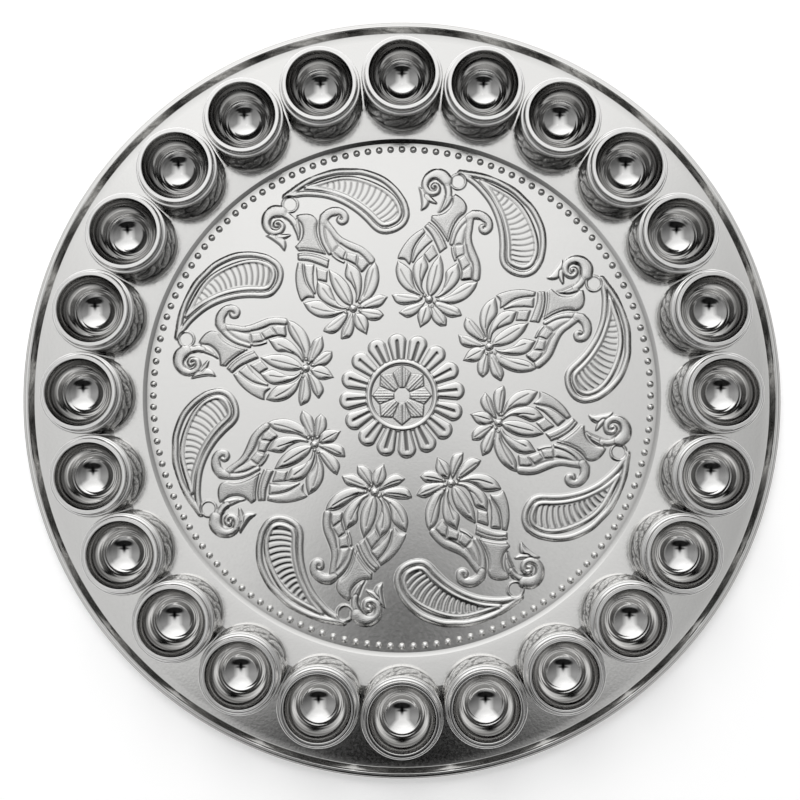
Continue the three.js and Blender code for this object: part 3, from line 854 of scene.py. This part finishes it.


# pressed sheet: cloudy silver, darkened by the painted shade mark and in the pits of the stippled parts
def makeSheetSilver(look):
    material, tree, shader = newMaterial("pressedSilver")
    place = tree.nodes.new("ShaderNodeTexCoord").outputs["Object"]
    shade, stipple = (markNode(tree, label).outputs["Fac"] for label in ("shade", "stipple"))
    cloud = noiseNode(tree, place, look["cloudScale"], 4)
    grain = noiseNode(tree, place, look["grainScale"], 2)
    pits = noiseNode(tree, place, look["stippleScale"], 2, 0.7)
    clear = blended(tree, cloud, look["bright"], look["cloudy"])
    pitted = ranged(tree, pits, look["pitShade"], 0.0, look["pitsFrom"], look["pitsTo"])
    dark = combined(tree, "MAXIMUM", shade, combined(tree, "MULTIPLY", stipple, pitted))
    tree.links.new(blended(tree, dark, clear, look["tarnishAndPaintedShade"]), shader.inputs["Base Color"])
    shader.inputs["Metallic"].default_value = 1.0
    rough = ranged(tree, grain, look["roughLow"], look["roughHigh"], look["grainFrom"], look["grainTo"])
    rough = combined(tree, "ADD", rough, combined(tree, "MULTIPLY", stipple, look["stippleRough"]))
    tree.links.new(rough, shader.inputs["Roughness"])
    # by shading alone the well's floor turns up slightly towards its edge: turnUp * (radius - start)^2
    xyz = tree.nodes.new("ShaderNodeSeparateXYZ")
    tree.links.new(place, xyz.inputs[0])
    radius = hypotenuse(tree, xyz.outputs[0], xyz.outputs[1])
    past = combined(tree, "SUBTRACT", radius, look["turnUpFrom"])
    past = held(tree, past, 0.0, look["turnUpTo"] - look["turnUpFrom"])
    rise = combined(tree, "MULTIPLY", combined(tree, "MULTIPLY", past, past), look["turnUp"])
    normal = bumped(tree, rise, 1.0, 1.0)
    normal = bumped(tree, grain, *look["grainBump"], normal)
    normal = bumped(tree, combined(tree, "MULTIPLY", pits, stipple), *look["pitBump"], normal)
    tree.links.new(normal, shader.inputs["Normal"])
    return material


wireSteel = {"dark": (0.52, 0.52, 0.51), "bright": (0.66, 0.66, 0.65), "streakScale": 700,
             "roughLow": 0.28, "roughHigh": 0.42, "streakBump": (0.1, 0.0001)}


# drawn wire: fine streaks between two greys
def makeWireSteel(look):
    material, tree, shader = newMaterial("drawnWire")
    place = tree.nodes.new("ShaderNodeTexCoord").outputs["Object"]
    streak = noiseNode(tree, place, look["streakScale"], 3)
    tree.links.new(blended(tree, streak, look["dark"], look["bright"]), shader.inputs["Base Color"])
    tree.links.new(ranged(tree, streak, look["roughLow"], look["roughHigh"]), shader.inputs["Roughness"])
    shader.inputs["Metallic"].default_value = 1.0
    tree.links.new(bumped(tree, streak, *look["streakBump"]), shader.inputs["Normal"])
    return material


cupSilver = {
    # the dark colour serves both the painted shade and the cuts of the engraving
    "bright": (0.90, 0.895, 0.885), "cloudy": (0.84, 0.835, 0.825), "tarnishAndPaintedShade": (0.07, 0.068, 0.064),
    "cloudScale": 120, "cloudFrom": 0.3, "cloudTo": 0.7, "roughLow": 0.06, "roughHigh": 0.12,
    "engraveScale": 1000, "cutShade": 0.9, "cutFrom": 0.43, "cutTo": 0.56, "cutBump": (0.7, 0.0006),
}


# polished cup: cloudy silver, darkened by the painted shade mark and in the cuts of the engraved band; the
# noise follows each cup's own place, stored before the cup is turned and set out
def makeCupSilver(look):
    material, tree, shader = newMaterial("polishedSilver")
    local = markNode(tree, "local").outputs["Vector"]
    shade, stipple = (markNode(tree, label).outputs["Fac"] for label in ("shade", "stipple"))
    cloud = noiseNode(tree, local, look["cloudScale"], 3)
    swirl = noiseNode(tree, local, look["engraveScale"], 3, 0.6)
    clear = blended(tree, cloud, look["bright"], look["cloudy"])
    cut = ranged(tree, swirl, look["cutShade"], 0.0, look["cutFrom"], look["cutTo"])
    dark = combined(tree, "MAXIMUM", shade, combined(tree, "MULTIPLY", stipple, cut))
    tree.links.new(blended(tree, dark, clear, look["tarnishAndPaintedShade"]), shader.inputs["Base Color"])
    shader.inputs["Metallic"].default_value = 1.0
    rough = ranged(tree, cloud, look["roughLow"], look["roughHigh"], look["cloudFrom"], look["cloudTo"])
    tree.links.new(rough, shader.inputs["Roughness"])
    normal = bumped(tree, combined(tree, "MULTIPLY", swirl, stipple), *look["cutBump"])
    tree.links.new(normal, shader.inputs["Normal"])
    return material


cupShape = {
    "count": 24, "ring": 124.0, "seat": 2.7, "columns": 144,
    "height": 25.0, "wall": 0.8, "belly": 15.92, "foot": 15.63,
    "lip": 14.4, "lipBead": 0.75, "lipCorner": 0.28,
    # the bowl has painted shade, a little all over and darker near the lip: from radius, to radius, how much
    "bowlShadeAllOver": 0.1, "bowlDark": (10.0, 11.4, 0.68), "spunRings": (6.6, 7.8, 9.0), "ringDepth": 0.07,
    # fine rings of painted shade in the bowl, strength and pace, which come in between two radii
    "paintedBowlRings": ((0.12, 9.0), (0.08, 23.0)), "bowlRingsFrom": 6.0, "bowlRingsTo": 7.0,
    # painted shade line round the foot: strength, height, half width and the least radius
    "footLine": (0.3, 1.5, 0.25, 15.3),
    # painted shade line in the hollow under the lip: strength, radius, half width and the heights it lies
    # between
    "neckLine": (0.8, 14.05, 0.25, 22.3, 24.0),
    # the band's ground has painted shade where its relief is lower than the first, clear above the second
    "recessFrom": 0.1, "recessTo": 0.45, "bandFade": 0.5,
    "bandLow": 2.6, "bandHigh": 20.3, "bandRepeats": 9, "bandDepth": 0.45, "bandSteps": 30, "bowlSteps": 38,
    "lipCrown": 0.07, "bandShade": 0.95, "bandStipple": 0.75,
    # half section, radius and height: inner side of the wall, foot and shoulder
    "drum": [(14.0, 21.3), (14.7, 20.7), (15.1, 19.8), (15.1, 6.0), (14.9, 0.3), (15.0, 0.0)],
    "shoulder": [(15.75, 21.7), (15.4, 21.9), (15.0, 21.85), (14.5, 22.2), (14.1, 22.8), (13.95, 23.5)],
}


# half section of the sheet: out under the bowl and down to the foot, up the outside, over the
# lip and down the bowl, which is half a ball: height = centre - sqrt(ball^2 - radius^2)
def cupSection(cup):
    bead, belly, foot = cup["lipBead"], cup["belly"], cup["foot"]
    ball, centre = cup["lip"] - 2 * bead, cup["height"] - bead
    underside = arc((0, centre), ball + cup["wall"], -90, -14, 8)
    drum = np.array(cup["drum"])
    footLine = [cup["drum"][-1], (foot, 0.0), (belly - 0.02, 0.7), (foot + 0.05, 1.4),
                (belly - 0.1, 1.9), (belly, 2.5)]
    base = rounded(footLine, [0.25, 0.3, 0.2, 0.3], 3)[1:]
    upBand = np.linspace(cup["bandLow"] + 0.1, cup["bandHigh"] - 0.1, cup["bandSteps"])
    band = np.stack([np.full(cup["bandSteps"], belly), upBand], 1)
    shoulder = flowing([(belly, 20.4), (belly, 21.2), *cup["shoulder"]], steps=2)
    # the lip is broad and flat on top, with a small arc at each side and a slightly crowned middle
    corner, middle = cup["lipCorner"], cup["lip"] - bead
    across = np.linspace(bead - corner, corner - bead, 6)
    lip = np.vstack([
        arc((middle, centre), bead, -35, -5, 3),
        arc((cup["lip"] - corner, cup["height"] - corner), corner, 0, 80, 5),
        np.stack([middle + across, cup["height"] - cup["lipCrown"] * (across / bead) ** 2], 1),
        arc((cup["lip"] - 2 * bead + corner, cup["height"] - corner), corner, 100, 180, 5),
        [(cup["lip"] - 2 * bead, centre + 0.15)]])
    angle = np.radians(np.linspace(-4, -90, cup["bowlSteps"]))
    rings = sum(np.exp(-((ball * np.cos(angle) - ring) / 0.2) ** 2) for ring in cup["spunRings"])
    depth = ball + cup["ringDepth"] * rings
    bowl = np.stack([depth * np.cos(angle), centre + depth * np.sin(angle)], 1)
    return np.vstack([underside, drum, base, band, shoulder, lip, bowl])


# each leaf: its two edges from foot to tip, its vein and its height
bandLeaves = {
    "behind": [[(-4.6, -1.8), (-2.4, 1.2), (0.8, 3.8), (2.8, 7.6)],
               [(-4.6, -1.8), (-5.6, 1.8), (-3.6, 5.8), (2.8, 7.6)],
               [(-4.5, -0.8), (-3.2, 2.8), (1.2, 6.4)], 0.75],
    "low": [[(0.8, -7.8), (4.6, -7.4), (6.6, -4.4), (7.8, 0.2)],
            [(0.8, -7.8), (3.0, -5.0), (5.0, -2.4), (7.8, 0.2)],
            [(1.8, -7.3), (4.6, -5.0), (6.8, -2.2)], 0.8],
    "sweep": [[(-4.8, -7.8), (-1.0, -6.8), (2.6, -3.8), (4.8, 0.6), (5.0, 6.2)],
              [(-4.8, -7.8), (-4.4, -4.0), (-2.0, -0.2), (1.6, 3.0), (5.0, 6.2)],
              [(-4.2, -7.0), (-1.4, -3.4), (2.0, 0.0), (4.4, 4.4)], 1.0],
}


# band of leaves on a flat strip: x round the cup, y up it; each leaf is laid three times, one
# repeat apart, so that it runs on over both ends of the strip
def engravedBand(cup, leaves, x, y):
    relief = blankRelief(np.stack([x, y], 1))
    period = 2 * np.pi / cup["bandRepeats"] * cup["belly"]
    for lower, upper, vein, height in leaves.values():
        for shift in (-period, 0, period):
            aside = np.array([shift, 0])
            edges = (np.array(lower) + aside, np.array(upper) + aside)
            petal(relief, *edges, np.array(vein) + aside, height, crown=0.45, rounding=1.6, stipple=0.0)
    return relief


# the strip runs round the cup as many times as the band repeats: x = angle left over * radius
def cupReliefAt(cup, angle, height):
    period = 2 * np.pi / cup["bandRepeats"]
    x = ((angle % period) / period - 0.5) * period * cup["belly"]
    middle = (cup["bandLow"] + cup["bandHigh"]) / 2
    return engravedBand(cup, bandLeaves, x.ravel(), (height - middle).ravel())


# one cup worked out once as a section carried round, with the band's relief cut into its belly,
# then turned by its own random angle and set out on the ring
def makeCups(cup, material):
    section = cupSection(cup)
    radius, height = section[1:-1].T
    rows, columns = len(radius), cup["columns"]
    angle = np.linspace(0, 2 * np.pi, columns, endpoint=False)
    radii, heights = np.repeat(radius[:, None], columns, 1), np.repeat(height[:, None], columns, 1)
    angles = np.repeat(angle[None, :], rows, 0)
    row, bowlStart = np.arange(rows), rows - (cup["bowlSteps"] - 1)
    inBand = (np.abs(radius - cup["belly"]) < 0.01) & (height > cup["bandLow"]) & (height < cup["bandHigh"])
    relief = cupReliefAt(cup, angles[inBand], heights[inBand])
    shape = (int(inBand.sum()), columns)
    fade = cup["bandFade"]
    margin = (eased(heights[inBand], cup["bandLow"], cup["bandLow"] + fade)
              * eased(-heights[inBand], -cup["bandHigh"], -cup["bandHigh"] + fade)).reshape(shape)
    shade, stipple = np.zeros_like(radii), np.zeros_like(radii)
    radii[inBand] -= cup["bandDepth"] * margin * (1 - relief["height"].reshape(shape))
    # painted shade in the band's low ground and along the edges and veins of its leaves
    recess = 1 - eased(relief["height"].reshape(shape), cup["recessFrom"], cup["recessTo"])
    shade[inBand] = margin * cup["bandShade"] * np.maximum(relief["shade"].reshape(shape), recess)
    stipple[inBand] = margin * cup["bandStipple"]
    inBowl = row >= bowlStart
    # painted shade round the foot and in the hollow under the lip
    level, up, half, beyond = cup["footLine"]
    shade += level * np.exp(-((heights - up) / half) ** 2) * (radii > beyond)
    level, out, half, low, high = cup["neckLine"]
    underLip = (heights > low) * (heights < high) * (row < bowlStart - 8)[:, None]  # not the lip's inner side
    shade += level * np.exp(-((radii - out) / half) ** 2) * underLip
    # painted shade in the bowl: a little all over, a dark ring near the lip and fine rings within
    low, high, darkest = cup["bowlDark"]
    stripes = sum(deep * np.sin(radius * pace) for deep, pace in cup["paintedBowlRings"])
    stripes = stripes * eased(radius, cup["bowlRingsFrom"], cup["bowlRingsTo"])
    bowlShade = cup["bowlShadeAllOver"] + eased(radius, low, high) * darkest + stripes
    shade[inBowl] = np.clip(bowlShade[inBowl, None], 0, 0.9)
    local = np.stack([radii * np.cos(angles), radii * np.sin(angles), heights], -1).reshape(-1, 3)
    poles = np.array([[0, 0, section[0, 1]], [0, 0, section[-1, 1]]])
    local = np.vstack([local, poles])
    faces = [gridCells(rows, columns), endFans(rows, columns)]
    marks = {"shade": np.append(shade, [0, 0]), "stipple": np.append(stipple, [0, 0])}
    turns = np.random.default_rng(24).uniform(0, 2 * np.pi, cup["count"])
    for k in range(cup["count"]):
        around = math.pi / 2 - 2 * math.pi * k / cup["count"]
        cosine, sine = math.cos(turns[k]), math.sin(turns[k])
        x = local[:, 0] * cosine - local[:, 1] * sine + cup["ring"] * math.cos(around)
        y = local[:, 0] * sine + local[:, 1] * cosine + cup["ring"] * math.sin(around)
        name = f"{k + 1:02d}"
        makePiece(f"smallCup_{name}", np.stack([x, y, local[:, 2] + cup["seat"]], 1), faces, material,
                  f"cup_{name}", [f"cup_{name}"], marks, {"local": local * mm})


# surroundings

surroundings = {
    "floorSize": 30.0, "floorHeight": -0.0002, "floorColour": 0.80, "floorRough": 0.9, "floorLift": 0.36,
    "lowerLevel": 0.50, "upperLevel": 0.96, "lowerEnd": -0.16, "upperEnd": 0.12, "towardsLeft": 0.45,
    "lowestDrop": 0.25, "lowestFrom": -0.7, "darkest": 0.1,
    # how bright the room is low down: in the middle, and what is added towards the top and right
    "lowMiddle": 0.26, "lowTop": 0.85, "lowRight": -0.12, "lowFrom": 0.35, "lowTo": 0.62, "lowDarkest": 0.12,
    # a pale band right round the horizon
    "horizonLevel": 0.9, "horizonFrom": 0.03, "horizonTo": 0.14,
    # the room grows dim to both sides: where the bright strip overhead lies, its edges, and how dim it gets
    "stripMiddle": -0.012, "stripFrom": 0.09, "stripTo": 0.24, "sideLevel": 0.38,
    "stripWidens": 0.3, "widensFrom": 0.12, "widensTo": 0.4,
    # dark and bright patches: middle across and up, half width, half height, soft from, level
    "patches": [(0.002, -0.16, 0.085, 0.20, 0.2, 0.0), (0.0, -0.31, 0.36, 0.15, 0.6, 0.03),
                (0.0, -0.15, 0.22, 0.06, 0.4, 0.15), (-0.05, 0.50, 0.60, 0.33, 0.3, 1.4)],
    # one big soft lamp behind the top of the picture
    "lampPlace": (-0.2, 1.2, 1.3), "lampSize": 1.2, "lampPower": 19.0,
}


# one square that is lifted towards white for camera, glossy and transmission rays
def makeFloor(look):
    corners = np.array([(-1, -1, 0), (1, -1, 0), (1, 1, 0), (-1, 1, 0)]) * look["floorSize"]
    corners[:, 2] = look["floorHeight"]
    mesh = bpy.data.meshes.new("paleFloor")
    mesh.from_pydata(corners.tolist(), [], [(0, 1, 2, 3)])
    floor = bpy.data.objects.new("paleFloor", mesh)
    bpy.context.scene.collection.objects.link(floor)
    material, tree, shader = newMaterial("palePaper")
    shader.inputs["Base Color"].default_value = (look["floorColour"],) * 3 + (1,)
    shader.inputs["Roughness"].default_value = look["floorRough"]
    path = tree.nodes.new("ShaderNodeLightPath").outputs
    seen = combined(tree, "MAXIMUM", path["Is Glossy Ray"], path["Is Transmission Ray"])
    seen = combined(tree, "MAXIMUM", path["Is Camera Ray"], seen)
    tree.links.new(combined(tree, "MULTIPLY", seen, look["floorLift"]), shader.inputs["Emission Strength"])
    shader.inputs["Emission Color"].default_value = (1, 1, 1, 1)
    mesh.materials.append(material)


# the room that the metal mirrors: a grey for each direction, worked out on a flat map of the sky,
# across = x / (1 + z) and up = y / (1 + z)
def makeWorld(look):
    world = bpy.data.worlds.new("softStudio")
    bpy.context.scene.world = world
    world.use_nodes = True
    tree = world.node_tree
    tree.nodes.clear()
    output, background = tree.nodes.new("ShaderNodeOutputWorld"), tree.nodes.new("ShaderNodeBackground")
    tree.links.new(background.outputs[0], output.inputs[0])
    xyz = tree.nodes.new("ShaderNodeSeparateXYZ")
    tree.links.new(tree.nodes.new("ShaderNodeTexCoord").outputs["Generated"], xyz.inputs[0])
    x, y, z = xyz.outputs[:3]
    spread = combined(tree, "ADD", combined(tree, "MAXIMUM", z, -0.9), 1.0)
    across, up = combined(tree, "DIVIDE", x, spread), combined(tree, "DIVIDE", y, spread)
    # brighter upwards and to the left, and darker again towards the lower end
    level = ranged(tree, up, look["lowerLevel"], look["upperLevel"], look["lowerEnd"], look["upperEnd"])
    level = combined(tree, "SUBTRACT", level, combined(tree, "MULTIPLY", across, look["towardsLeft"]))
    drop = ranged(tree, up, look["lowestDrop"], 0.0, look["lowestFrom"], look["lowerEnd"])
    level = held(tree, combined(tree, "SUBTRACT", level, drop), look["darkest"], 1.0)
    # the strip overhead, wider towards the top
    fromStrip = combined(tree, "ABSOLUTE", combined(tree, "SUBTRACT", across, look["stripMiddle"]))
    wider = ranged(tree, up, 0.0, look["stripWidens"], look["widensFrom"], look["widensTo"])
    fromStrip = combined(tree, "SUBTRACT", fromStrip, wider)
    dimmed = ranged(tree, fromStrip, 1.0, look["sideLevel"], look["stripFrom"], look["stripTo"])
    level = combined(tree, "MULTIPLY", level, dimmed)
    # low down the room is dark at both sides and bright only towards the top of the picture
    towardsTop = combined(tree, "MULTIPLY", y, look["lowTop"])
    low = combined(tree, "ADD", towardsTop, combined(tree, "MULTIPLY", x, look["lowRight"]))
    low = held(tree, combined(tree, "ADD", low, look["lowMiddle"]), look["lowDarkest"], 1.0)
    high = ranged(tree, z, 0.0, 1.0, look["lowFrom"], look["lowTo"])
    level = faded(tree, high, low, level)
    # soft ovals: dark ones over the bottom of the picture, a bright one over the top
    for middleAcross, middleUp, halfWidth, halfHeight, softFrom, within in look["patches"]:
        offUp = combined(tree, "DIVIDE", combined(tree, "SUBTRACT", up, middleUp), halfHeight)
        aside = combined(tree, "DIVIDE", combined(tree, "SUBTRACT", across, middleAcross), halfWidth)
        oval = ranged(tree, hypotenuse(tree, offUp, aside), within, 1.0, softFrom, 1.0, "SMOOTHSTEP")
        level = combined(tree, "MULTIPLY", level, oval)
    horizon = ranged(tree, z, 1.0, 0.0, look["horizonFrom"], look["horizonTo"])
    level = faded(tree, horizon, level, look["horizonLevel"])
    tree.links.new(level, background.inputs["Color"])
    background.inputs["Strength"].default_value = 1.0


# a square lamp that faces the middle of the tray
def makeLamp(look):
    lampData = bpy.data.lights.new("softLamp", "AREA")
    lampData.size = look["lampSize"]
    lampData.energy = look["lampPower"]
    lamp = bpy.data.objects.new("softLamp", lampData)
    bpy.context.scene.collection.objects.link(lamp)
    lamp.location = look["lampPlace"]
    lamp.visible_glossy = False  # it only makes the shadow on the floor; the metal mirrors the room
    x, y, z = look["lampPlace"]
    lamp.rotation_euler = (math.atan2(math.hypot(x, y), z), 0, math.atan2(x, -y))


makeWorld(surroundings)
makeFloor(surroundings)
makeLamp(surroundings)
print("floor and light are in place")

pressedSilver = makeSheetSilver(sheetSilver)
polishedSilver = makeCupSilver(cupSilver)
makeShell(traySheet, pressedSilver)
makeWire(rimWire, makeWireSteel(wireSteel))
print("rim and border are done")
makePanels(figurePanel, traySheet, pressedSilver)
print("eight figures are pressed")
makeRosette(rosetteShape, traySheet, pressedSilver)
makeBeads(beadRow, traySheet, pressedSilver)
print("rosette and beads are done")
makeCups(cupShape, polishedSilver)
print("cups are set out")
